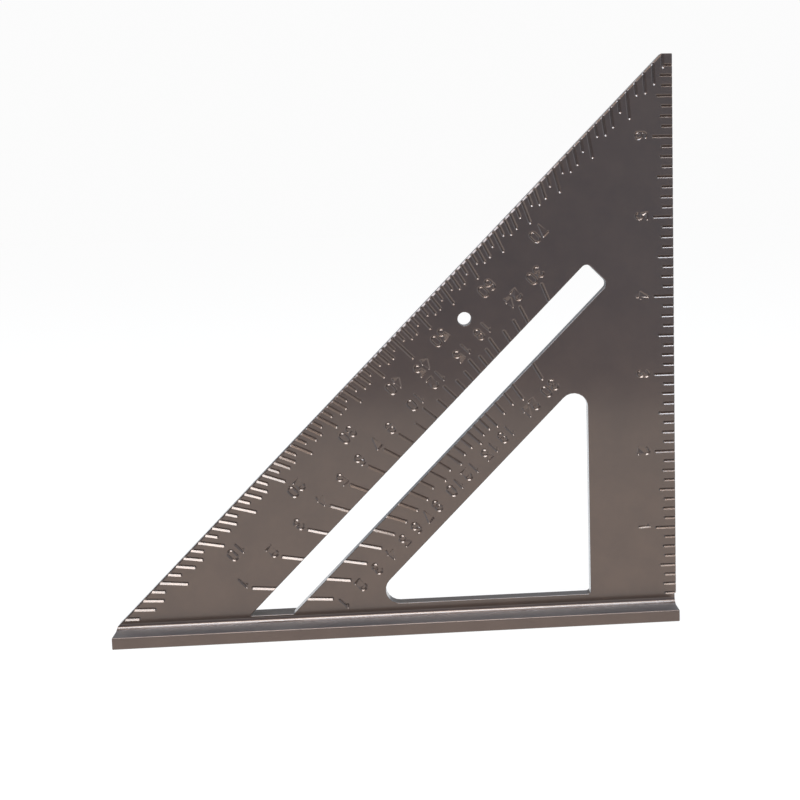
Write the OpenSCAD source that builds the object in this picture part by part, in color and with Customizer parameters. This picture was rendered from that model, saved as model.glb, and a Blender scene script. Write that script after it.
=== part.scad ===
// Rafter square: a cast triangular blade on a T-shaped fence, with engraved scales.
// The blade's outline is drawn in 2D with the pivot corner at the origin, X along the fence
// (negative towards the heel) and Y up the ruler edge. It is then stood up on the fence, with
// the marked face towards -Y. The part's origin is the middle of the fence's underside.

/* [Blade] */
// Length of each leg, from the pivot to where the sloping edge would meet it
leg_l = 181.7; // [170:0.1:310]
// Thickness of the blade
blade_t = 4.2; // [3:0.1:6]
// Width of the flat at the tip
tip_w = 3.5; // [1.5:0.1:4.5]
// Height of the upright cut at the heel
heel_h = 0.7; // [0.5:0.1:2]
// Width of the bevels along the sloping edge
bevel_w = 0.5; // [0.2:0.1:0.8]

/* [Bars and openings] */
// Width of the bar along the sloping edge
protractor_w = 28.6; // [24:0.1:30]
// Width of the slanted slot
slot_w = 9.9; // [7:0.1:12]
// Width of the bar between the slot and the window
hip_w = 15.15; // [12:0.05:16]
// Width of the bar along the ruler edge
ruler_w = 28.4; // [26:0.1:32]
// Distance from the ruler edge to the slot's nearest corner
slot_end_x = 21.15; // [16:0.05:24]
// Corner radius at the slot's upper end
slot_r = 2; // [1:0.1:4]
// Corner radius of the window's two sharp corners
window_r = 4.6; // [3:0.1:6]
// Height of the window's bottom edge above the fence's ledge
rail_h = 4; // [3.5:0.1:6]
// Height of the slot's bottom edge above the fence's ledge
sill_h = 2.1; // [2:0.1:3.4]

/* [Fence] */
// Overall width of the fence, across the blade
fence_w = 21; // [18:0.5:28]
// Thickness of the fence
fence_h = 3.8; // [3:0.1:6]
// Rounding of the fence's long edges
fence_r = 0.8; // [0.4:0.1:1.2]
// Radius of the fillets between the fence and the blade
root_r = 1.6; // [1:0.1:1.8]
// How far the fence stops short of the ruler edge
fence_inset = 0.6; // [0.2:0.1:1]

/* [Hanging hole] */
// Diameter of the hole
hole_d = 4.4; // [3:0.1:6]
// Distance from the hole's centre to the sloping edge
hole_depth = 12.75; // [12:0.05:13.5]
// Distance along the sloping edge from its middle to the hole's centre, towards the tip
hole_along = 20.2; // [18:0.1:22]

/* [Engraving] */
// Width of a tick
tick_w = 1.1; // [0.6:0.05:1.2]
// Stroke width of the numbers
stroke_w = 0.8; // [0.4:0.05:0.9]
// Depth of the ticks and the numbers
engrave_d = 0.4; // [0.2:0.05:0.6]
// Height of the numbers
digit_h = 4.5; // [4:0.1:5]
// Width of one number
digit_w = 2.9; // [2.5:0.1:3.2]
// Step from one digit of a number to the next
digit_step = 3.1; // [3:0.1:4]

/* [Hidden] */
$fn = 48;
inch = 25.4;
root2 = sqrt(2);
cut = 1;                                   // how far a cutter runs past the surface it opens
// The sloping edge is the line y - x = leg_l, and each line beside it is y - x = its own _off
slot_top_off = leg_l - protractor_w * root2;
slot_low_off = slot_top_off - slot_w * root2;
slot_mid_off = (slot_top_off + slot_low_off) / 2;
window_off = slot_low_off - hip_w * root2;
slot_end_sum = slot_low_off - 2 * slot_end_x; // the slot's upper end is the line y + x = this
window_mid = [(rail_h - window_off - ruler_w) / 2, (rail_h + window_off - ruler_w) / 2];
length = leg_l - heel_h;
tip_y = leg_l - tip_w;
relief_w = 0.5;                            // the ruler edge steps in this far at the pivot
relief_h = 2.9;
window_corner_r = 1;
core_w = blade_t + 2 * root_r;             // width of the fence's middle, between the two ledges
end_over = 1.06;                           // how much wider a groove's round end is

// Depths of the ticks, measured square to the edge that they start from
degree_short = 3.85;
degree_medium = 5.45;
degree_long = 7.35;
degree_45 = 9.85;
common_short = 4.6;
common_long = 6.2;
hip_short = 5;
hip_long = 6.3;
// Lengths of the inch scale's ticks
eighth_l = 4.1;
quarter_l = 4.5;
half_l = 5.6;
inch_l = 7;
// Gaps from the ticks' inner ends to the centres of their numbers
degree_gap = 3.7;
common_gap = 2.9;
hip_gap = 3.3;
inch_gap = 3.3;
inch_rise = 0.4;                           // how far the inch numbers sit above their ticks
label_lean = 0.3;                          // share of a ray's lean that its number's gap follows

reading_turn = 225;                        // turn of the numbers that are read along the slope
common_run = 12;                           // inches of run for the common rafter scale
hip_run = 17;                              // inches of run for the hip and valley scale
LABELLED_RISES = [1, 2, 3, 4, 5, 6, 7, 8, 10, 12, 15, 18, 24, 30];
PLAIN_RISES = [9, 11, 13, 14, 16, 17, 20, 22];
LABELLED_DEGREES = [10, 20, 30, 40, 45, 50, 60, 70];

function unit(v) = v / norm(v);
// The point at an angle from the heel side of the pivot, on the line y - x = off
function on_line(angle, off) = off / (cos(angle) + sin(angle)) * [-cos(angle), sin(angle)];

// Outline with its corners rounded, each by its own radius
module rounded_polygon(points, radii) {
    n = len(points);
    to_next = [for (i = [0:n-1]) unit(points[(i + 1) % n] - points[i])];
    to_last = [for (i = [0:n-1]) unit(points[(i + n - 1) % n] - points[i])];
    half = [for (i = [0:n-1]) acos(to_next[i] * to_last[i]) / 2];
    polygon([for (i = [0:n-1]) for (side = [to_last[i], to_next[i]])
        points[i] + side * radii[i] / tan(half[i])]);
    for (i = [0:n-1])
        if (radii[i] > 0)
            translate(points[i] + unit(to_next[i] + to_last[i]) * radii[i] / sin(half[i]))
                circle(r = radii[i]);
}

// Stands a shape drawn in the blade's 2D frame up on the fence
module stand_up() {
    translate([length / 2, blade_t / 2, fence_h]) rotate([90, 0, 0]) children();
}

module blade_outline() {
    polygon([[-length, 0], [-length, heel_h], [-tip_w, tip_y], [0, tip_y],
        [0, relief_h], [-relief_w, relief_h], [-relief_w, 0]]);
}

module slot_outline() {
    rounded_polygon([
        [sill_h - slot_top_off, sill_h],
        [sill_h - slot_low_off, sill_h],
        [(slot_end_sum - slot_low_off) / 2, (slot_end_sum + slot_low_off) / 2],
        [(slot_end_sum - slot_top_off) / 2, (slot_end_sum + slot_top_off) / 2]
    ], [0, 0, slot_r, slot_r]);
}

module window_outline() {
    rounded_polygon([
        [rail_h - window_off, rail_h],
        [-ruler_w, rail_h],
        [-ruler_w, window_off - ruler_w]
    ], [window_r, window_corner_r, window_r]);
}

// The part of the pierced blade that lies inside a region
module member_outline(region) {
    intersection() {
        difference() {
            blade_outline();
            slot_outline();
            window_outline();
        }
        polygon(region);
    }
}

// Groove along a line, in a given width, with a round end at q and, where asked for, at p. A
// round end is a little wider than the groove, so that its wall crosses the groove's sides.
module stroke(p, q, w, round_start = true) {
    run = q - p;
    translate(p) rotate(atan2(run.y, run.x)) {
        translate([0, -w / 2, 0]) cube([norm(run), w, engrave_d + cut]);
        translate([norm(run), 0, 0]) cylinder(d = end_over * w, h = engrave_d + cut);
        if (round_start) cylinder(d = end_over * w, h = engrave_d + cut);
    }
}

// Groove along an arc
module arc_stroke(centre, r, from, to) {
    translate(centre) rotate(from) rotate_extrude(angle = to - from)
        translate([r - stroke_w / 2, 0]) square([stroke_w, engrave_d + cut]);
}

// Moves cutters down into the marked face
module engraved() {
    translate([0, 0, blade_t - engrave_d]) children();
}

// One digit, centred on the origin, upright along Y
module digit(d) {
    w = (digit_w - stroke_w) / 2;          // from the middle to the sides' centre lines
    h = (digit_h - stroke_w) / 2;          // from the middle to the top's centre line
    top = [0, h - w];
    bottom = [0, w - h];
    bowl = 0.53 * h;                       // radius of the bowls of a 3 and an 8
    bowl_y = h - bowl;
    flag = 0.35 * h;
    if (d == 0) {
        arc_stroke(top, w, 0, 180);
        arc_stroke(bottom, w, 180, 360);
        for (side = [-w, w]) stroke([side, bottom.y], [side, top.y], stroke_w, false);
    }
    if (d == 1) {
        stroke([0, -h], [0, h], stroke_w);
        stroke([0, h], [-flag, h - flag], stroke_w, false);
    }
    if (d == 2) {
        turn_down = 35;                    // where the bowl runs into the slope, below level
        arc_stroke(top, w, -turn_down, 180);
        stroke([w * cos(turn_down), top.y - w * sin(turn_down)], [-w, -h], stroke_w);
        stroke([-w, -h], [w, -h], stroke_w, false);
    }
    if (d == 3) {
        lip = 20;                          // how far the bowls stop short of level
        arc_stroke([0, bowl_y], bowl, -90, 180 - lip);
        arc_stroke([0, -bowl_y], bowl, lip - 180, 90);
    }
    if (d == 4) {
        stroke([w / 2, -h], [w / 2, h], stroke_w);
        stroke([w / 2, h], [-w, -h / 3], stroke_w, false);
        stroke([-w, -h / 3], [w, -h / 3], stroke_w);
    }
    if (d == 5) {
        lip = 30;                          // how far the bowl stops short of level
        turn_up = 130;                     // where the bowl runs into the stem
        arc_stroke(bottom, w, lip - 180, turn_up);
        stroke([w * cos(turn_up), bottom.y + w * sin(turn_up)], [-w, h], stroke_w);
        stroke([-w, h], [w, h], stroke_w, false);
    }
    if (d == 6) {
        arc_stroke(bottom, w, 0, 360);
        lip = 50;                          // where the upper arc stops, above level
        stroke([-w, bottom.y], [-w, top.y], stroke_w, false);
        arc_stroke(top, w, lip, 180);
    }
    if (d == 7) {
        stroke([-w, h], [w, h], stroke_w);
        stroke([w, h], [-w / 2, -h], stroke_w, false);
    }
    if (d == 8)
        for (y = [-bowl_y, bowl_y]) arc_stroke([0, y], bowl, 0, 360);
    if (d == 9)
        rotate(180) digit(6);
}

// Whole number of one or two digits, centred on a point and turned
module number(n, at, turn) {
    digits = n < 10 ? [n] : [floor(n / 10), n % 10];
    translate(at) rotate(turn)
        for (i = [0:len(digits)-1])
            translate([(i - (len(digits) - 1) / 2) * digit_step, 0, 0]) digit(digits[i]);
}

// Tick on a ray from the pivot, from an edge y - x = off to a depth from it. A positive depth
// runs towards the pivot, a negative one away from it.
module ray_tick(angle, off, depth) {
    past = sign(depth) * cut * root2;
    reach = (depth - sign(depth) * tick_w / 2) * root2;
    stroke(on_line(angle, off + past), on_line(angle, off - reach), tick_w, false);
}

// Number a gap beyond the inner end of a ray's tick, with its top towards the pivot
module ray_number(n, angle, off, depth, gap) {
    lean = 45 + label_lean * (angle - 45);
    inner_end = on_line(angle, off - depth * root2);
    number(n, inner_end + sign(depth) * gap * [cos(lean), -sin(lean)], reading_turn);
}

function degree_depth(a) =
    a == 45 ? degree_45 :
    a % 5 == 0 ? degree_long :
    a % 5 == 2 || a % 5 == 3 ? degree_medium : degree_short;

// Whole degrees whose ticks start inside a box of the blade's frame
function degrees_in(x_from, x_to, y_from, y_to) = [
    for (a = [1:89])
        let (p = on_line(a, leg_l))
        if (p.x > x_from && p.x < x_to && p.y > y_from && p.y < y_to) a
];

module degree_ticks(degrees) {
    for (a = degrees) ray_tick(a, leg_l, degree_depth(a));
}

module degree_numbers() {
    for (a = LABELLED_DEGREES) ray_number(a, a, leg_l, degree_depth(a), degree_gap);
}

// Roofing scale: rises in inches for a run, as ticks from an edge of the slot
module rafter_scale(run, off, long, short, gap) {
    for (rise = LABELLED_RISES) {
        ray_tick(atan(rise / run), off, long);
        ray_number(rise, atan(rise / run), off, long, gap);
    }
    for (rise = PLAIN_RISES) ray_tick(atan(rise / run), off, short);
}

// Eighths of an inch whose ticks lie between two heights
function eighths_in(y_from, y_to) = [
    for (n = [1:floor(tip_y * 8 / inch)])
        if (n * inch / 8 > y_from && n * inch / 8 < y_to) n
];

function eighth_length(n) =
    n % 8 == 0 ? inch_l :
    n % 4 == 0 ? half_l :
    n % 2 == 0 ? quarter_l : eighth_l;

module inch_ticks(eighths) {
    for (n = eighths)
        stroke([cut, n * inch / 8], [tick_w / 2 - eighth_length(n), n * inch / 8], tick_w, false);
}

module inch_numbers() {
    for (n = [1:floor(tip_y / inch - 0.5)])
        number(n, [-inch_l - inch_gap, n * inch + inch_rise], -90);
}

// Bevels along both edges of the sloping side
module sloping_bevels() {
    for (edge = [[0, -45], [blade_t, 45]])  // height of the edge and turn of its bevel
        translate([-leg_l, 0, edge[0]]) rotate(45) rotate([edge[1], 0, 0])
            translate([0, -bevel_w / root2, -bevel_w])
                cube([leg_l * root2, 2 * bevel_w, 2 * bevel_w]);
}

module hanging_hole() {
    along = hole_along / root2;
    middle = on_line(45, leg_l - hole_depth * root2);
    translate([middle.x + along, middle.y + along, -cut]) cylinder(d = hole_d, h = blade_t + 2 * cut);
}

// Cross-section across the fence, with Y up: the foot of the blade with its two fillets
module foot_section() {
    translate([-blade_t / 2, 0]) square([blade_t, root_r]);
    for (side = [0, 1]) mirror([side, 0])
        difference() {
            translate([blade_t / 2, 0]) square(root_r);
            translate([blade_t / 2 + root_r, root_r]) circle(r = root_r);
        }
}

// Cross-section of one of the fence's ledges, beside its middle
module ledge_section() {
    rounded_polygon([
        [core_w / 2, 0], [fence_w / 2, 0], [fence_w / 2, fence_h], [core_w / 2, fence_h]
    ], [0, fence_r, fence_r, 0]);
}

// Extrudes a cross-section along the fence
module along_fence(run) {
    translate([-length / 2, 0, 0]) rotate([90, 0, 90]) linear_extrude(run) children();
}

module front_ledge() {
    color([0.36, 0.33, 0.31]) along_fence(length - fence_inset) mirror([1, 0]) ledge_section();
}

module rear_ledge() {
    color([0.36, 0.33, 0.31]) along_fence(length - fence_inset) ledge_section();
}

module root() {
    color([0.40, 0.37, 0.35]) {
        along_fence(length - fence_inset) translate([-core_w / 2, 0]) square([core_w, fence_h]);
        intersection() {
            translate([0, 0, fence_h]) along_fence(length) foot_section();
            stand_up() translate([0, 0, -fence_w]) linear_extrude(2 * fence_w) blade_outline();
        }
    }
}

module lower_rail() {
    region = [[-length - cut, root_r], [cut, root_r], [cut, rail_h], [-length - cut, rail_h]];
    color([0.35, 0.32, 0.30]) stand_up() difference() {
        linear_extrude(blade_t) member_outline(region);
        sloping_bevels();
        engraved() {
            degree_ticks(degrees_in(-length, 0, 0, rail_h + tick_w));
            inch_ticks(eighths_in(0, rail_h + tick_w));
        }
    }
}

module protractor_bar() {
    region = [
        [rail_h - slot_mid_off, rail_h], [-ruler_w, slot_mid_off - ruler_w],
        [-ruler_w, leg_l], [-length - cut, rail_h]
    ];
    color([0.33, 0.30, 0.29]) stand_up() difference() {
        linear_extrude(blade_t) member_outline(region);
        hanging_hole();
        sloping_bevels();
        engraved() {
            degree_ticks(degrees_in(-length, tick_w - ruler_w, rail_h - tick_w, leg_l));
            degree_numbers();
            rafter_scale(common_run, slot_top_off, -common_long, -common_short, common_gap);
        }
    }
}

module hip_valley_bar() {
    region = [
        [rail_h - slot_mid_off, rail_h], [window_mid.x, rail_h],
        [-ruler_w, window_mid.y], [-ruler_w, slot_mid_off - ruler_w]
    ];
    color([0.36, 0.33, 0.31]) stand_up() difference() {
        linear_extrude(blade_t) member_outline(region);
        engraved() rafter_scale(hip_run, slot_low_off, hip_long, hip_short, hip_gap);
    }
}

module ruler_bar() {
    region = [
        [window_mid.x, rail_h], [cut, rail_h], [cut, leg_l],
        [-ruler_w, leg_l], [-ruler_w, window_mid.y]
    ];
    color([0.38, 0.34, 0.34]) stand_up() difference() {
        linear_extrude(blade_t) member_outline(region);
        sloping_bevels();
        engraved() {
            degree_ticks(degrees_in(-ruler_w - degree_long, 0, 0, leg_l));
            inch_ticks(eighths_in(rail_h - tick_w, tip_y - tick_w));
            inch_numbers();
        }
    }
}

front_ledge();
rear_ledge();
root();
lower_rail();
protractor_bar();
hip_valley_bar();
ruler_bar();
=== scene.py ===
"""Looks of the cast rafter square.

The blade with its engraved scales and the fence are rebuilt as detailed meshes, one closed piece
for each CAD node. Their lengths are in millimetres until the mesh is made. The blade is drawn in a
flat frame with the pivot corner at the origin, X along the fence, negative towards the heel, Y up
the ruler edge, and Z from the back face to the marked face.
"""

import math

import bmesh
import bpy
import numpy as np
from mathutils import Euler, Matrix, Vector
from mathutils.geometry import delaunay_2d_cdt


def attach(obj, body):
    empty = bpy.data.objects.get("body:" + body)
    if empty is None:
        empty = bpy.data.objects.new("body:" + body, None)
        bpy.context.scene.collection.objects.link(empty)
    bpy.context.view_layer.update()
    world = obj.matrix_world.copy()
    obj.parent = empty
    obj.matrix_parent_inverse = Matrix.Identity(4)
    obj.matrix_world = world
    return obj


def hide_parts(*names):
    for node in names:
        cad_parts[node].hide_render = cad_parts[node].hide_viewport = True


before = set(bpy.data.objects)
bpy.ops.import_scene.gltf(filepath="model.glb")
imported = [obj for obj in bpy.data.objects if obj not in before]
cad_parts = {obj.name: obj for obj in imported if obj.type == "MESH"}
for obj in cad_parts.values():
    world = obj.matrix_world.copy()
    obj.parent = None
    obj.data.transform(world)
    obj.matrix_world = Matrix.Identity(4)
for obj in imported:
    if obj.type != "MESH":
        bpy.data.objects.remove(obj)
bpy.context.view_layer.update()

MM = 0.001
INCH = 25.4
EIGHTH = INCH / 8
ROOT2 = math.sqrt(2)
SLOPE = 45  # degrees between the fence and the sloping edge
OVERRUN = 1  # how far a drawn line runs past the edge that it crosses

# Blade
LEG_L = 181.7
BLADE_T = 4.2
TIP_W = 3.5
TIP_R = 0.3
HEEL_H = 0.7
LENGTH = LEG_L - HEEL_H
TIP_Y = LEG_L - TIP_W
RELIEF_W = 0.5  # the ruler edge steps in this far at the pivot
RELIEF_H = 2.9
RELIEF_R = 0.15
BEVEL_W = 0.5

# Bars and openings. A line beside the sloping edge is y - x = its own _OFF.
PROTRACTOR_W = 28.6  # width of the bar along the sloping edge
SLOT_W = 9.9
HIP_W = 15.15  # width of the bar between the slot and the window
RULER_W = 28.4  # width of the bar along the ruler edge
SLOT_END_X = 21.15  # from the ruler edge to the slot's nearest corner
SLOT_R = 2
SLOT_FOOT_R = 0.3
WINDOW_R = 4.6  # corner radius of the window's two sharp corners
WINDOW_CORNER_R = 1
RAIL_H = 4  # height of the window's bottom edge above the ledges
SILL_H = 2.1  # height of the slot's bottom edge above the ledges
SLOT_TOP_OFF = LEG_L - PROTRACTOR_W * ROOT2
SLOT_LOW_OFF = SLOT_TOP_OFF - SLOT_W * ROOT2
SLOT_MID_OFF = (SLOT_TOP_OFF + SLOT_LOW_OFF) / 2
WINDOW_OFF = SLOT_LOW_OFF - HIP_W * ROOT2
SLOT_END_SUM = SLOT_LOW_OFF - 2 * SLOT_END_X  # the slot's upper end is the line y + x = this

# Fence
FENCE_W = 21
FENCE_H = 3.8
FENCE_R = 0.4
FENCE_INSET = 0.6  # how far the fence stops short of the ruler edge
ROOT_R = 1.6  # radius of the fillets between the fence and the blade
CORE_W = BLADE_T + 2 * ROOT_R
FRONT = -1  # a side of the blade is the sign of the part's Y there
BACK = 1

# Hanging hole
HOLE_D = 4.4
HOLE_DEPTH = 12.75  # from the sloping edge to the hole's centre
HOLE_ALONG = 20.2  # from the middle of that edge to the centre, towards the tip

# Grooves
TICK_W = 1.25
RULER_TICK_W = 1
STROKE_W = 0.85
TICK_D = 0.44
RULER_TICK_D = 0.41
NUMBER_D = 0.29
FLOOR_SHARE = 0.06  # a groove's floor, as a share of its width

# Ticks and their numbers. A depth is square to the edge that the tick starts from, and a gap runs
# from a tick's inner end to the centre of its number.
DEGREE_SHORT = 3.85
DEGREE_MEDIUM = 5.45
DEGREE_LONG = 7.35
DEGREE_45 = 9.85
DEGREE_GAP = 3.7
COMMON_SHORT = 4.6
COMMON_LONG = 6.2
COMMON_GAP = 2.9
HIP_SHORT = 5
HIP_LONG = 6.3
HIP_GAP = 3.3
EIGHTH_L = 4.1
QUARTER_L = 4.5
HALF_L = 5.6
INCH_L = 7
INCH_GAP = 3.3
INCH_RISE = 0.4  # how far the inch numbers sit above their ticks
LABEL_LEAN = 0.3  # share of a ray's lean that its number's gap follows
READING_TURN = 225  # turn of the numbers that are read along the slope
INCH_TURN = -90  # turn of the inch numbers
COMMON_RUN = 12  # inches of run of each roofing scale
HIP_RUN = 17
LABELLED_RISES = [1, 2, 3, 4, 5, 6, 7, 8, 10, 12, 15, 18, 24, 30]
PLAIN_RISES = [9, 11, 13, 14, 16, 17, 20, 22]
LABELLED_DEGREES = [10, 20, 30, 40, 45, 50, 60, 70]

# Digits. A share is of the height from a digit's middle to its top's centre line, and a turn or a
# lip is in degrees.
DIGIT_H = 4.5
DIGIT_W = 2.9
DIGIT_STEP = 3.1
BOWL_SHARE = 0.53  # radius of the bowls of a 3 and an 8
FLAG_SHARE = 0.35  # reach of the flag of a 1
TURN_2 = 35  # how far below level the bowl of a 2 runs into its slope
TURN_5 = 130  # angle at which the bowl of a 5 runs into its stem
LIP_3 = 20  # how far the bowls of a 3 stop short of level
LIP_5 = 30  # how far the bowl of a 5 stops short of level
LIP_6 = 50  # how far above level the upper arc of a 6 stops

# Fineness of the meshes
EDGE_R = 0.2
EDGE_LEVELS = [0, 0.134, 0.5, 1, 1.3]  # lines along an edge, as shares of its radius
GROOVE_LEVELS = [1.12, 1, FLOOR_SHARE]  # lines round a groove, as shares of its half width
BEVEL_BAND_W = 0.1  # width of the strip of triangles beside the bevel
CLEAR_SHARE = 0.999  # share of a loop's distance that it keeps from a mark's other strokes
MERGE_R = 0.0001  # drawn points that are nearer than this become one
ARC_STEP = 20  # most degrees from one point of an arc to the next
CORNER_STEPS = 8
FILLET_STEPS = 9
END_STEPS = 3
FENCE_STATIONS = 121
FADE_W = 1  # the rounding of a ledge's ends fades in over this width
TAPER_H = 0.4  # the rounding of the blade's edges fades in over this height
SHARP_ANGLE = math.radians(24)

# Finish. A noise is (scale, detail), and a bump is (scale, detail, strength, distance).
METALLIC = 0.8
COAT = 1
COAT_IOR = 1.7
COAT_ROUGHNESS = 0.15
WORN_ROUGHNESS = 0.45  # of the coat on the ledges, where boards rub
SHEEN = 0.25
SHEEN_ROUGHNESS = 0.5
SHEEN_TINT = (0.8, 0.9, 1.0, 1)
COLOUR_NOISE = (90, 4)
COLOUR_DARK = (0.090, 0.047, 0.026, 1)
COLOUR_LIGHT = (0.104, 0.056, 0.032, 1)
GLOSS_NOISE = (700, 3)
ROUGH_LOW = 0.28
ROUGH_HIGH = 0.36
RAMP_ENDS = (0.35, 0.65)
BUMPS = [(45, 2, 0.12, 0.0002), (3500, 3, 0.12, 0.00005)]

# Studio, in metres and watts. The floor lies a hair below the fence.
FLOOR_SIZE = 6
FLOOR_Z = -0.00002
FLOOR_GREY = 0.8
AMBIENT = 0.3
SEEN_GLOW = 0.94  # glow and matt white of the background that the camera and the metal see
SEEN_MATT = 0.1
RING_R = 0.42
RING_H = 0.4
RING_SIDES = 96
RING_COLOURS = {
    "front": (0.31, 0.38, 0.50),
    "right": (0.75, 0.88, 1.05),
    "back": (0.20, 0.20, 0.20),
    "left": (0.20, 0.22, 0.26),
}
LAMP_TARGET = Vector((0, 0, 0.06))
LAMP_DISTANCE = 1
LAMPS = {
    "key": dict(direction=(-0.05, -0.54, 0.84), size=(0.7, 0.24), power=4.7, colour=(0.95, 1, 1.04)),
    "fill": dict(direction=(-0.75, -0.1, 0.65), size=(0.5, 0.5), power=4, colour=(0.85, 0.97, 1.15)),
    "top": dict(direction=(0, -0.24, 0.97), size=(0.7, 0.22), power=4.6, colour=(0.82, 1, 1.2)),
}

# Camera, fitted to the marks of the blade: its place, and its turns in degrees
CAMERA_AT = Vector((5.42, -401.07, 143.75)) * MM
CAMERA_TURNS = (83.416, 1.277, -4.734)
CAMERA_SHIFT = (-0.1375, -0.09375)
LENS = 56.847
SENSOR_W = 36
CLIP_START = 0.01


# Flat drawing

def unit(v):
    """A vector's direction, as a vector of length 1."""
    v = np.asarray(v, float)
    return v / np.linalg.norm(v)


def turned(points, degrees):
    """Points turned about the origin."""
    a = math.radians(degrees)
    c, s = math.cos(a), math.sin(a)
    return np.asarray(points, float) @ np.array([[c, s], [-s, c]])


def arc(centre, r, start, end):
    """Points along an arc, with its angles in degrees."""
    steps = max(2, math.ceil(abs(end - start) / ARC_STEP))
    a = np.radians(np.linspace(start, end, steps + 1))
    return np.array(centre) + r * np.c_[np.cos(a), np.sin(a)]


def on_line(angle, off):
    """The point at an angle from the heel side of the pivot, on the line y - x = off."""
    a = math.radians(angle)
    return off / (math.cos(a) + math.sin(a)) * np.array([-math.cos(a), math.sin(a)])


def rounded(points, radii):
    """Closed outline with its corners rounded, each by its own radius."""
    points = [np.array(p, float) for p in points]
    out = []
    for i, here in enumerate(points):
        to_last = unit(points[i - 1] - here)
        to_next = unit(points[(i + 1) % len(points)] - here)
        if radii[i] == 0:
            out.append(here)
            continue
        half = math.acos(to_last @ to_next) / 2
        centre = here + unit(to_last + to_next) * radii[i] / math.sin(half)
        start = here + to_last * radii[i] / math.tan(half) - centre
        end = here + to_next * radii[i] / math.tan(half) - centre
        turn = math.degrees(math.atan2(start[0] * end[1] - start[1] * end[0], start @ end))
        out += [centre + turned(start, turn * k / CORNER_STEPS) for k in range(CORNER_STEPS + 1)]
    return np.array(out)


def inset(loop, distance):
    """A closed loop moved to its left side by a distance."""
    run = np.roll(loop, -1, axis=0) - loop
    run /= np.linalg.norm(run, axis=1)[:, None]
    normal = np.c_[-run[:, 1], run[:, 0]]
    before = np.roll(normal, 1, axis=0)
    return loop + distance * (normal + before) / (1 + np.sum(normal * before, axis=1))[:, None]


def inside(points, loop):
    """Which points lie inside a closed loop."""
    x, y = points[:, 0], points[:, 1]
    hit = np.zeros(len(points), bool)
    for (ax, ay), (bx, by) in zip(loop, np.roll(loop, -1, axis=0)):
        if ay != by:
            crossing = (ay > y) != (by > y)
            hit ^= crossing & (x < (bx - ax) * (y - ay) / (by - ay) + ax)
    return hit


def distance_to(points, line):
    """Distance from each point to a line of straight runs."""
    best = np.full(len(points), np.inf)
    for a, b in zip(line[:-1], line[1:]):
        run = b - a
        t = np.clip((points - a) @ run / (run @ run), 0, 1)
        best = np.minimum(best, np.linalg.norm(points - a - t[:, None] * run, axis=1))
    return best


def outline_around(line, r):
    """Closed loop at a distance all round a line, with round ends."""
    run = line[1:] - line[:-1]
    run /= np.linalg.norm(run, axis=1)[:, None]
    normal = np.c_[-run[:, 1], run[:, 0]]
    mean = np.vstack([normal[:1], normal[:-1] + normal[1:], normal[-1:]])
    mean /= np.linalg.norm(mean, axis=1)[:, None]
    turn_start = math.degrees(math.atan2(normal[0][1], normal[0][0]))
    turn_end = math.degrees(math.atan2(-normal[-1][1], -normal[-1][0]))
    start_cap = arc(line[0], r, turn_start, turn_start + 180)[1:-1]
    end_cap = arc(line[-1], r, turn_end, turn_end + 180)[1:-1]
    return np.vstack([line - r * mean, end_cap, (line + r * mean)[::-1], start_cap])


# Engraved marks, as the centre lines of their grooves

def digit_lines(d):
    """Centre lines of one digit, centred on the origin, upright along Y."""
    if d == 9:
        return [turned(line, 180) for line in digit_lines(6)]
    w = (DIGIT_W - STROKE_W) / 2
    h = (DIGIT_H - STROKE_W) / 2
    top = [0, h - w]
    bottom = [0, w - h]
    bowl = BOWL_SHARE * h
    bowl_y = h - bowl
    flag = FLAG_SHARE * h
    bowl_2 = arc(top, w, 180, -TURN_2)
    bowl_5 = arc(bottom, w, LIP_5 - 180, TURN_5)
    lines = {
        0: [[*arc(top, w, 0, 180), *arc(bottom, w, 180, 360), [w, top[1]]]],
        1: [[[0, -h], [0, h]], [[0, h], [-flag, h - flag]]],
        2: [bowl_2, [bowl_2[-1], [-w, -h]], [[-w, -h], [w, -h]]],
        3: [arc([0, bowl_y], bowl, 180 - LIP_3, -90), arc([0, -bowl_y], bowl, 90, LIP_3 - 180)],
        4: [[[w / 2, -h], [w / 2, h]], [[w / 2, h], [-w, -h / 3]], [[-w, -h / 3], [w, -h / 3]]],
        5: [bowl_5, [bowl_5[-1], [-w, h]], [[-w, h], [w, h]]],
        6: [arc(bottom, w, 0, 360), [[-w, bottom[1]], *arc(top, w, 180, LIP_6)]],
        7: [[[-w, h], [w, h]], [[w, h], [-w / 2, -h]]],
        8: [arc([0, bowl_y], bowl, 0, 360), arc([0, -bowl_y], bowl, 0, 360)],
    }
    return [np.array(line, float) for line in lines[d]]


def number_lines(n, at, turn):
    """Centre lines of a whole number, centred on a point and turned."""
    digits = [int(c) for c in str(n)]
    lines = []
    for i, d in enumerate(digits):
        shift = np.array([(i - (len(digits) - 1) / 2) * DIGIT_STEP, 0])
        lines += [turned(line + shift, turn) + at for line in digit_lines(d)]
    return lines


def ray_tick(angle, off, depth):
    """Tick on a ray from the pivot, from an edge y - x = off to a depth from it.

    A positive depth runs towards the pivot, a negative one away from it.
    """
    past = math.copysign(OVERRUN * ROOT2, depth)
    reach = (depth - math.copysign(TICK_W / 2, depth)) * ROOT2
    return [np.array([on_line(angle, off + past), on_line(angle, off - reach)])]


def ray_number(n, angle, off, depth, gap):
    """Number a gap beyond the inner end of a ray's tick, with its top towards the pivot."""
    lean = math.radians(SLOPE + LABEL_LEAN * (angle - SLOPE))
    beyond = math.copysign(gap, depth) * np.array([math.cos(lean), -math.sin(lean)])
    return number_lines(n, on_line(angle, off - depth * ROOT2) + beyond, READING_TURN)


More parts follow.
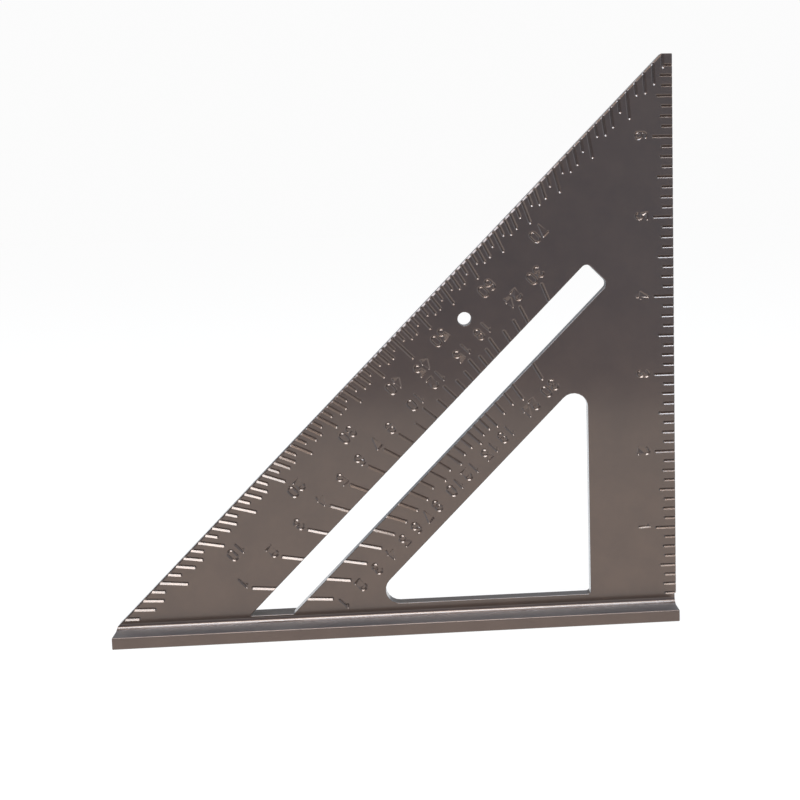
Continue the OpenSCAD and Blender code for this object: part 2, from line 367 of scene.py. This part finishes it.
def degree_depth(a):
    """Depth of the tick of a whole degree."""
    if a == SLOPE:
        return DEGREE_45
    if a % 5 == 0:
        return DEGREE_LONG
    return DEGREE_MEDIUM if a % 5 in (2, 3) else DEGREE_SHORT


def degree_scale():
    """Ticks and numbers of the scale along the sloping edge."""
    ticks = [ray_tick(a, LEG_L, degree_depth(a)) for a in range(1, 90)]
    numbers = [ray_number(a, a, LEG_L, degree_depth(a), DEGREE_GAP) for a in LABELLED_DEGREES]
    return ticks, numbers


def rafter_scale(run, off, long, short, gap):
    """Ticks and numbers of a roofing scale: rises in inches for a run."""
    def angle(rise):
        return math.degrees(math.atan(rise / run))

    ticks = [ray_tick(angle(rise), off, long) for rise in LABELLED_RISES]
    ticks += [ray_tick(angle(rise), off, short) for rise in PLAIN_RISES]
    numbers = [ray_number(rise, angle(rise), off, long, gap) for rise in LABELLED_RISES]
    return ticks, numbers


def eighth_length(n):
    """Length of the tick that lies n eighths of an inch up the ruler edge."""
    if n % 8 == 0:
        return INCH_L
    if n % 4 == 0:
        return HALF_L
    return QUARTER_L if n % 2 == 0 else EIGHTH_L


def inch_scale():
    """Ticks and numbers of the scale along the ruler edge."""
    ticks = []
    for n in range(1, math.ceil((TIP_Y - TICK_W) / EIGHTH)):
        inner_end = [TICK_W / 2 - eighth_length(n), n * EIGHTH]
        ticks.append([np.array([[OVERRUN, n * EIGHTH], inner_end])])
    numbers = []
    for n in range(1, round(TIP_Y / INCH)):
        middle = np.array([-INCH_L - INCH_GAP, n * INCH + INCH_RISE])
        numbers.append(number_lines(n, middle, INCH_TURN))
    return ticks, numbers


def marks():
    """All grooves of the marked face, as (centre lines, half width, depth)."""
    ruler_ticks, ruler_numbers = inch_scale()
    ticks, numbers = degree_scale()
    numbers += ruler_numbers
    for rafter_ticks, rafter_numbers in [
        rafter_scale(COMMON_RUN, SLOT_TOP_OFF, -COMMON_LONG, -COMMON_SHORT, COMMON_GAP),
        rafter_scale(HIP_RUN, SLOT_LOW_OFF, HIP_LONG, HIP_SHORT, HIP_GAP),
    ]:
        ticks += rafter_ticks
        numbers += rafter_numbers
    grooves = [(lines, TICK_W / 2, TICK_D) for lines in ticks]
    grooves += [(lines, RULER_TICK_W / 2, RULER_TICK_D) for lines in ruler_ticks]
    grooves += [(lines, STROKE_W / 2, NUMBER_D) for lines in numbers]
    return grooves


# Outline, openings and bars of the blade. A loop has the metal on its left.

OUTLINE = rounded([
    (-OVERRUN - LEG_L, -OVERRUN),
    (-RELIEF_W, -OVERRUN),
    (-RELIEF_W, RELIEF_H),
    (0, RELIEF_H),
    (0, TIP_Y),
    (-TIP_W, TIP_Y),
], [0, 0, RELIEF_R, RELIEF_R, TIP_R, TIP_R])
SLOT = rounded([
    (SILL_H - SLOT_TOP_OFF, SILL_H),
    ((SLOT_END_SUM - SLOT_TOP_OFF) / 2, (SLOT_END_SUM + SLOT_TOP_OFF) / 2),
    ((SLOT_END_SUM - SLOT_LOW_OFF) / 2, (SLOT_END_SUM + SLOT_LOW_OFF) / 2),
    (SILL_H - SLOT_LOW_OFF, SILL_H),
], [SLOT_FOOT_R, SLOT_R, SLOT_R, SLOT_FOOT_R])
WINDOW = rounded([
    (RAIL_H - WINDOW_OFF, RAIL_H),
    (-RULER_W, WINDOW_OFF - RULER_W),
    (-RULER_W, RAIL_H),
], [WINDOW_R, WINDOW_R, WINDOW_CORNER_R])
HOLE_AT = on_line(SLOPE, LEG_L - HOLE_DEPTH * ROOT2) + HOLE_ALONG / ROOT2
HOLE = arc(HOLE_AT, HOLE_D / 2, 360, 0)[:-1]
OPENINGS = [SLOT, WINDOW, HOLE]


def member_of(points):
    """Name of the bar that each point of the blade belongs to."""
    x, y = points[:, 0], points[:, 1]
    by_right_angle = y - x < (RAIL_H + RULER_W + WINDOW_OFF) / 2
    names = np.where(y - x > SLOT_MID_OFF, "protractor_bar", "hip_valley_bar")
    names = np.where((x > -RULER_W) | by_right_angle, "ruler_bar", names)
    return np.where(y < RAIL_H, "lower_rail", names)


def borders():
    """Lines where the bars meet each other and the foot of the blade."""
    low_left, top, low_right = np.split(WINDOW, 3)
    slot_end = (-RULER_W, SLOT_MID_OFF - RULER_W)
    return [
        [(-LEG_L, ROOT_R), (0, ROOT_R)],
        [(-LEG_L, RAIL_H), low_left[0]],
        [low_right[-1], (OVERRUN, RAIL_H)],
        [top[-1], slot_end],
        [slot_end, (-RULER_W, LEG_L)],
    ]


# Blade

class Drawing:
    """Points and lines of a flat drawing that is to be cut into triangles."""

    def __init__(self):
        self.points = []
        self.edges = []

    def add(self, points, kept=None, closed=True):
        """Adds a line, less the points that aren't kept and the edges that lead to them."""
        start = len(self.points)
        kept = np.ones(len(points), bool) if kept is None else kept
        index = np.cumsum(kept) - 1 + start
        self.points += [tuple(p) for p in np.asarray(points)[kept]]
        last = len(points) if closed else len(points) - 1
        for i in range(last):
            j = (i + 1) % len(points)
            if kept[i] and kept[j]:
                self.edges.append((int(index[i]), int(index[j])))

    def triangles(self):
        """Points, triangles, and the place of each drawn point among the points."""
        drawn = [Vector(p) for p in self.points]
        out = delaunay_2d_cdt(drawn, self.edges, [], 0, MERGE_R, True)
        place = np.zeros(len(drawn), int)
        for i, sources in enumerate(out[3]):
            place[sources] = i
        return np.array(out[0]), np.array(out[2]), place


def edge_drop(points):
    """How far the rounded and bevelled edges lie below the face, at each point."""
    drop = np.zeros(len(points))
    for loop in (OUTLINE, *OPENINGS):
        gap = np.clip(EDGE_R - distance_to(points, np.vstack([loop, loop[:1]])), 0, EDGE_R)
        drop = np.maximum(drop, EDGE_R - np.sqrt(EDGE_R**2 - gap**2))
    from_slope = (LEG_L - points[:, 1] + points[:, 0]) / ROOT2
    drop = np.maximum(drop, BEVEL_W - from_slope)
    return drop * np.clip((points[:, 1] - ROOT_R) / TAPER_H, 0, 1)


def groove_depth(points, grooves):
    """Depth of the grooves at each point. A groove's sides slope down to a narrow floor."""
    depth = np.zeros(len(points))
    for lines, half, deepest in grooves:
        for line in lines:
            near = np.all((points > line.min(0) - half) & (points < line.max(0) + half), axis=1)
            flank = (1 - distance_to(points[near], line) / half) / (1 - FLOOR_SHARE)
            depth[near] = np.maximum(depth[near], deepest * np.clip(flank, 0, 1))
    return depth


def draw_edges(drawing, levels):
    """Draws the lines along the blade's outline, its openings and its bevel."""
    for loop in (OUTLINE, *OPENINGS):
        for level in levels:
            drawing.add(inset(loop, level * EDGE_R))
    for width in (BEVEL_W, BEVEL_W + BEVEL_BAND_W):
        off = LEG_L - width * ROOT2
        foot_y = ROOT_R - OVERRUN
        drawing.add([(foot_y - off, foot_y), (0, off)], closed=False)


def draw_grooves(drawing, grooves):
    """Draws the rims, the floors and the centre lines of grooves."""
    for lines, half, _ in grooves:
        for level in GROOVE_LEVELS:
            r = level * half
            for line in lines:
                loop = outline_around(line, r)
                gaps = [distance_to(loop, other) for other in lines if other is not line]
                kept = np.all([gap > r * CLEAR_SHARE for gap in gaps], axis=0) if gaps else None
                drawing.add(loop, kept)
        for line in lines:
            drawing.add(line, closed=False)


def front_sheet(grooves):
    """Points and triangles of the marked face, cut along its edges, borders and grooves."""
    drawing = Drawing()
    draw_edges(drawing, EDGE_LEVELS)
    for line in borders():
        drawing.add(line, closed=False)
    draw_grooves(drawing, grooves)
    points, tris, _ = drawing.triangles()
    middle = points[tris].mean(1)
    solid = inside(middle, OUTLINE) & (middle[:, 1] > ROOT_R)
    for loop in OPENINGS:
        solid &= ~inside(middle, loop)
    return points, tris[solid]


def back_sheet(points, rims):
    """Points and triangles of the back face, and the place there of each front point of a rim."""
    rim_points = sorted({i for rim in rims for edge in rim for i in edge})
    drawn_at = {i: k for k, i in enumerate(rim_points)}
    drawing = Drawing()
    drawing.points = [tuple(points[i]) for i in rim_points]
    drawing.edges = [(drawn_at[a], drawn_at[b]) for rim in rims for a, b in rim]
    draw_edges(drawing, EDGE_LEVELS[1:])  # the rims stand for the first level
    back_points, back_tris, place = drawing.triangles()
    return back_points, back_tris, {i: int(place[k]) for i, k in drawn_at.items()}


def directed_edges(tri):
    """The three edges of a triangle, in its own direction."""
    return [(int(tri[i]), int(tri[i - 2])) for i in range(3)]


def boundary(tris):
    """Edges that only one of the triangles has, in its direction."""
    edges = {edge for tri in tris for edge in directed_edges(tri)}
    return [(a, b) for a, b in edges if (b, a) not in edges]


def enclosed(tris, rim):
    """Indices of the triangles that a closed rim of directed edges encloses."""
    owner = {edge: k for k, tri in enumerate(tris) for edge in directed_edges(tri)}
    rim = set(rim)
    waiting = [owner[edge] for edge in rim if edge in owner]
    found = set(waiting)
    while waiting:
        for a, b in directed_edges(tris[waiting.pop()]):
            k = owner.get((b, a))
            if (a, b) not in rim and k is not None and k not in found:
                found.add(k)
                waiting.append(k)
    return sorted(found)


def blade_pieces():
    """Points and faces of each bar of the blade, in the flat frame."""
    grooves = marks()
    points, tris = front_sheet(grooves)
    bar = member_of(points[tris].mean(1))
    rims = {name: boundary(tris[bar == name]) for name in sorted(set(bar))}
    back_points, back_tris, behind = back_sheet(points, rims.values())
    front_z = BLADE_T - np.maximum(edge_drop(points), groove_depth(points, grooves))
    verts = np.vstack([np.c_[points, front_z], np.c_[back_points, edge_drop(back_points)]])
    back = len(points)
    pieces = {}
    for name, rim in rims.items():
        back_rim = [(behind[a], behind[b]) for a, b in rim]
        faces = tris[bar == name].tolist()
        faces += (back_tris[enclosed(back_tris, back_rim)][:, ::-1] + back).tolist()
        faces += [[a, behind[a] + back, behind[b] + back, b] for a, b in rim]
        pieces[name] = (verts, faces)
    return pieces


# Fence

def swept(rings):
    """Points and faces of a closed piece through rings of points. Rows of quads close its ends."""
    count, around = len(rings), len(rings[0])
    faces = []
    for j in range(count - 1):
        for k in range(around):
            a, b = j * around + k, j * around + (k + 1) % around
            faces.append([a, b, b + around, a + around])
    for base in (0, (count - 1) * around):
        faces += [
            [base + k, base + k + 1, base + around - 2 - k, base + around - 1 - k]
            for k in range(around // 2 - 1)
        ]
    return np.vstack(rings), faces


def root_piece():
    """Middle of the fence with the foot of the blade and its two fillets."""
    profile = [(CORE_W / 2, -FENCE_H), (CORE_W / 2, 0)]
    for angle in np.radians(np.linspace(90, 0, FILLET_STEPS + 1)[1:]):
        across = BLADE_T / 2 + ROOT_R * (1 - math.cos(angle))
        profile.append((across, ROOT_R * (1 - math.sin(angle))))
    ring = profile + [(-across, y) for across, y in reversed(profile)]
    rings = []
    for s in np.linspace(0, 1, FENCE_STATIONS):
        points = []
        for across, y in ring:
            start = -LENGTH if y <= 0 else max(-LENGTH, y - LEG_L)
            end = -FENCE_INSET if y <= 0 else -RELIEF_W
            points.append((start + s * (end - start), y, BLADE_T / 2 - across))
        rings.append(points)
    return swept(rings)


def ledge_piece(side):
    """Ledge of the fence on one side of the blade, with its ends rounded."""
    lower = arc((FENCE_W / 2 - FENCE_R, FENCE_R - FENCE_H), FENCE_R, -90, 0)
    upper = arc((FENCE_W / 2 - FENCE_R, -FENCE_R), FENCE_R, 0, 90)
    inner, faded = CORE_W / 2, CORE_W / 2 + FADE_W
    ring = [(inner, -FENCE_H), (faded, -FENCE_H), *lower, *upper, (faded, 0), (inner, 0)]
    turns = np.radians(np.linspace(0, 90, END_STEPS + 1))
    near_end = EDGE_R * (1 - np.cos(turns))
    shrink = EDGE_R * (1 - np.sin(turns))
    xs = [*(near_end - LENGTH), *(-FENCE_INSET - near_end[::-1])]
    rings = []
    for x, less in zip(xs, [*shrink, *shrink[::-1]]):
        points = []
        for across, y in ring:
            if across > inner:
                across -= less * (across - inner) / (FENCE_W / 2 - inner)
                y -= math.copysign(less, y + FENCE_H / 2)
            points.append((x, y, BLADE_T / 2 - side * across))
        rings.append(points)
    return swept(rings)


# Pieces and their finish

def add_piece(node, verts, faces, finish):
    """Makes the visible piece that stands for one CAD node."""
    used = sorted({i for face in faces for i in face})
    place = {i: k for k, i in enumerate(used)}
    x, y, z = np.asarray(verts)[used].T
    placed = np.c_[x + LENGTH / 2, BLADE_T / 2 - z, y + FENCE_H] * MM
    mesh = bpy.data.meshes.new(node + "_look")
    mesh.from_pydata(placed.tolist(), [], [[place[i] for i in face] for face in faces])
    work = bmesh.new()
    work.from_mesh(mesh)
    bmesh.ops.recalc_face_normals(work, faces=work.faces)
    work.to_mesh(mesh)
    work.free()
    mesh.shade_smooth()
    mesh.set_sharp_from_angle(angle=SHARP_ANGLE)
    mesh.materials.append(finish)
    piece = bpy.data.objects.new(node + "_look", mesh)
    bpy.context.scene.collection.objects.link(piece)
    flat_walls = piece.modifiers.new("flat_walls", "WEIGHTED_NORMAL")
    flat_walls.keep_sharp = True
    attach(piece, "root")
    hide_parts(node)


def grey(value):
    """A grey, as an opaque colour."""
    return (value, value, value, 1)


def new_finish(name):
    """A material with its nodes and the call that links two sockets."""
    finish = bpy.data.materials.new(name)
    finish.use_nodes = True
    return finish, finish.node_tree.nodes, finish.node_tree.links.new


def coated_casting(name, coat_roughness):
    """Dark, half-gloss coating on a fine-grained casting."""
    finish, nodes, link = new_finish(name)
    shader = nodes["Principled BSDF"]
    shader.inputs["Metallic"].default_value = METALLIC
    shader.inputs["Coat Weight"].default_value = COAT
    shader.inputs["Coat IOR"].default_value = COAT_IOR
    shader.inputs["Coat Roughness"].default_value = coat_roughness
    shader.inputs["Sheen Weight"].default_value = SHEEN
    shader.inputs["Sheen Roughness"].default_value = SHEEN_ROUGHNESS
    shader.inputs["Sheen Tint"].default_value = SHEEN_TINT
    place = nodes.new("ShaderNodeTexCoord")

    def noise(scale, detail):
        node = nodes.new("ShaderNodeTexNoise")
        node.inputs["Scale"].default_value = scale
        node.inputs["Detail"].default_value = detail
        link(place.outputs["Object"], node.inputs["Vector"])
        return node.outputs["Fac"]

    def ramp(source, low, high):
        node = nodes.new("ShaderNodeValToRGB")
        for end, position, colour in zip(node.color_ramp.elements, RAMP_ENDS, (low, high)):
            end.position = position
            end.color = colour
        link(source, node.inputs["Fac"])
        return node.outputs["Color"]

    link(ramp(noise(*COLOUR_NOISE), COLOUR_DARK, COLOUR_LIGHT), shader.inputs["Base Color"])
    link(ramp(noise(*GLOSS_NOISE), grey(ROUGH_LOW), grey(ROUGH_HIGH)), shader.inputs["Roughness"])
    normal = None
    for scale, detail, strength, distance in BUMPS:
        bump = nodes.new("ShaderNodeBump")
        bump.inputs["Strength"].default_value = strength
        bump.inputs["Distance"].default_value = distance
        link(noise(scale, detail), bump.inputs["Height"])
        if normal:
            link(normal, bump.inputs["Normal"])
        normal = bump.outputs["Normal"]
    link(normal, shader.inputs["Normal"])
    return finish


# Studio

def seen_rays(nodes, link):
    """1 for the rays that show a background: from the camera, off metal and through glass."""
    rays = nodes.new("ShaderNodeLightPath")
    total = rays.outputs["Is Camera Ray"]
    for kind in ("Is Glossy Ray", "Is Transmission Ray"):
        add = nodes.new("ShaderNodeMath")
        add.operation = "ADD"
        add.use_clamp = True
        link(total, add.inputs[0])
        link(rays.outputs[kind], add.inputs[1])
        total = add.outputs["Value"]
    return total


def lit_floor():
    """Pale floor that the camera and the metal see as white, and that still takes a shadow."""
    finish, nodes, link = new_finish("floor")
    nodes.clear()
    matt = nodes.new("ShaderNodeBsdfDiffuse")
    matt.inputs["Color"].default_value = grey(FLOOR_GREY)
    seen_matt = nodes.new("ShaderNodeBsdfDiffuse")
    seen_matt.inputs["Color"].default_value = grey(SEEN_MATT)
    glow = nodes.new("ShaderNodeEmission")
    glow.inputs["Strength"].default_value = SEEN_GLOW
    both = nodes.new("ShaderNodeAddShader")
    link(seen_matt.outputs["BSDF"], both.inputs[0])
    link(glow.outputs["Emission"], both.inputs[1])
    mix = nodes.new("ShaderNodeMixShader")
    link(seen_rays(nodes, link), mix.inputs["Fac"])
    link(matt.outputs["BSDF"], mix.inputs[1])
    link(both.outputs["Shader"], mix.inputs[2])
    out = nodes.new("ShaderNodeOutputMaterial")
    link(mix.outputs["Shader"], out.inputs["Surface"])
    return finish


def add_floor():
    """Large floor just under the fence."""
    bpy.ops.mesh.primitive_plane_add(size=FLOOR_SIZE, location=(0, 0, FLOOR_Z))
    ground = bpy.context.object
    ground.name = "floor"
    ground.data.materials.append(lit_floor())


def white_world():
    """World that lights the part dimly and is seen as white."""
    world = bpy.data.worlds.new("studio")
    bpy.context.scene.world = world
    world.use_nodes = True
    nodes = world.node_tree.nodes
    link = world.node_tree.links.new
    dim = nodes["Background"]
    dim.inputs["Color"].default_value = grey(1)
    dim.inputs["Strength"].default_value = AMBIENT
    white = nodes.new("ShaderNodeBackground")
    white.inputs["Color"].default_value = grey(1)
    white.inputs["Strength"].default_value = SEEN_GLOW + SEEN_MATT * AMBIENT
    mix = nodes.new("ShaderNodeMixShader")
    link(seen_rays(nodes, link), mix.inputs["Fac"])
    link(dim.outputs["Background"], mix.inputs[1])
    link(white.outputs["Background"], mix.inputs[2])
    link(mix.outputs["Shader"], nodes["World Output"].inputs["Surface"])


def ring_colour(place):
    """Colour of the ring in one direction, mixed smoothly from the colours of its four sides."""
    x, y = unit(place)
    sides = [(x, "right"), (-x, "left"), (y, "back"), (-y, "front")]
    return sum(max(0, share)**2 * np.array(RING_COLOURS[side]) for share, side in sides)


def painted_glow():
    """Finish that glows in the colour painted on its mesh."""
    finish, nodes, link = new_finish("grey_ring")
    nodes.clear()
    painted = nodes.new("ShaderNodeAttribute")
    painted.attribute_name = "grey"
    glow = nodes.new("ShaderNodeEmission")
    link(painted.outputs["Color"], glow.inputs["Color"])
    out = nodes.new("ShaderNodeOutputMaterial")
    link(glow.outputs["Emission"], out.inputs["Surface"])
    return finish


def add_grey_ring():
    """Low grey screen all round, which only the metal's reflections show."""
    bpy.ops.mesh.primitive_cylinder_add(
        vertices=RING_SIDES, radius=RING_R, depth=RING_H,
        end_fill_type="NOTHING", location=(0, 0, RING_H / 2),
    )
    screen = bpy.context.object
    screen.name = "grey_ring"
    screen.visible_camera = False
    screen.visible_diffuse = False
    screen.visible_shadow = False
    paint = screen.data.color_attributes.new("grey", "FLOAT_COLOR", "POINT")
    for vertex, spot in zip(screen.data.vertices, paint.data):
        spot.color = (*ring_colour(vertex.co[:2]), 1)
    screen.data.materials.append(painted_glow())


def add_lamp(name, direction, size, power, colour):
    """Soft box of a width and a height that points at the middle of the blade."""
    lamp = bpy.data.lights.new(name, "AREA")
    lamp.shape = "RECTANGLE"
    lamp.size, lamp.size_y = size
    lamp.energy = power
    lamp.color = colour
    towards = Vector(direction).normalized()
    holder = bpy.data.objects.new(name, lamp)
    holder.location = LAMP_TARGET + towards * LAMP_DISTANCE
    holder.rotation_euler = towards.to_track_quat("Z", "Y").to_euler()
    bpy.context.scene.collection.objects.link(holder)


def add_camera():
    """Camera at the photograph's viewing angle."""
    camera_data = bpy.data.cameras.new("camera")
    camera_data.lens = LENS
    camera_data.sensor_width = SENSOR_W
    camera_data.shift_x, camera_data.shift_y = CAMERA_SHIFT
    camera_data.clip_start = CLIP_START
    camera = bpy.data.objects.new("camera", camera_data)
    turns = Euler([math.radians(a) for a in CAMERA_TURNS])
    camera.matrix_world = Matrix.LocRotScale(CAMERA_AT, turns, None)
    bpy.context.scene.collection.objects.link(camera)
    bpy.context.scene.camera = camera


# Scene

casting = coated_casting("coated_casting_look", COAT_ROUGHNESS)
worn_casting = coated_casting("worn_casting_look", WORN_ROUGHNESS)
for name, (verts, faces) in blade_pieces().items():
    add_piece(name, verts, faces, casting)
add_piece("root", *root_piece(), casting)
add_piece("front_ledge", *ledge_piece(FRONT), worn_casting)
add_piece("rear_ledge", *ledge_piece(BACK), worn_casting)

white_world()
add_floor()
add_grey_ring()
for name, lamp in LAMPS.items():
    add_lamp(name, **lamp)
add_camera()
bpy.context.scene.view_settings.view_transform = "Standard"
